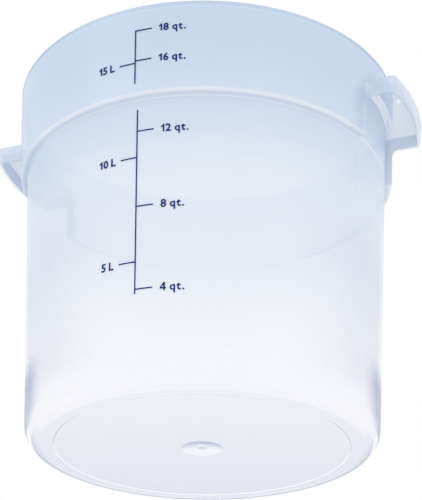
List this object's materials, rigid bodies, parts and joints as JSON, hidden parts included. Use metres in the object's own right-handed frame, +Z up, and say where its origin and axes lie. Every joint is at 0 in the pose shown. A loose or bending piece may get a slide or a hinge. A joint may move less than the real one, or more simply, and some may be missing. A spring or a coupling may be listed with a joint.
{
  "type": "round food storage container",
  "caption": "Round tapered clear plastic food tub with a wider collar, hollow side ears over finger pockets and a printed volume scale.",
  "frame": {"origin": "middle of the underside, at the level of the ring that it stands on", "axes": "+Z up out of the mouth, the ears along +X and -X, the printed scale on the -Y side"},
  "size_m": [0.356, 0.3124, 0.3014],
  "materials": {
    "clear_plastic": "clear, slightly blue and slightly frosted moulded plastic",
    "blue_ink": "opaque dark blue printing ink"
  },
  "bodies": {
    "root": {"container": "clear_plastic", "scale_stroke_upper": "blue_ink", "scale_stroke_lower": "blue_ink", "mark_18_quart_1": "blue_ink", "mark_18_quart_8": "blue_ink", "mark_18_quart_q": "blue_ink", "mark_18_quart_t": "blue_ink", "mark_18_quart_dot": "blue_ink", "mark_16_quart_1": "blue_ink", "mark_16_quart_6": "blue_ink", "mark_16_quart_q": "blue_ink", "mark_16_quart_t": "blue_ink", "mark_16_quart_dot": "blue_ink", "mark_12_quart_1": "blue_ink", "mark_12_quart_2": "blue_ink", "mark_12_quart_q": "blue_ink", "mark_12_quart_t": "blue_ink", "mark_12_quart_dot": "blue_ink", "mark_8_quart_8": "blue_ink", "mark_8_quart_q": "blue_ink", "mark_8_quart_t": "blue_ink", "mark_8_quart_dot": "blue_ink", "mark_4_quart_4": "blue_ink", "mark_4_quart_q": "blue_ink", "mark_4_quart_t": "blue_ink", "mark_4_quart_dot": "blue_ink", "mark_15_litre_1": "blue_ink", "mark_15_litre_5": "blue_ink", "mark_15_litre_l": "blue_ink", "mark_10_litre_1": "blue_ink", "mark_10_litre_0": "blue_ink", "mark_10_litre_l": "blue_ink", "mark_5_litre_5": "blue_ink", "mark_5_litre_l": "blue_ink"}
  },
  "joints": []
}
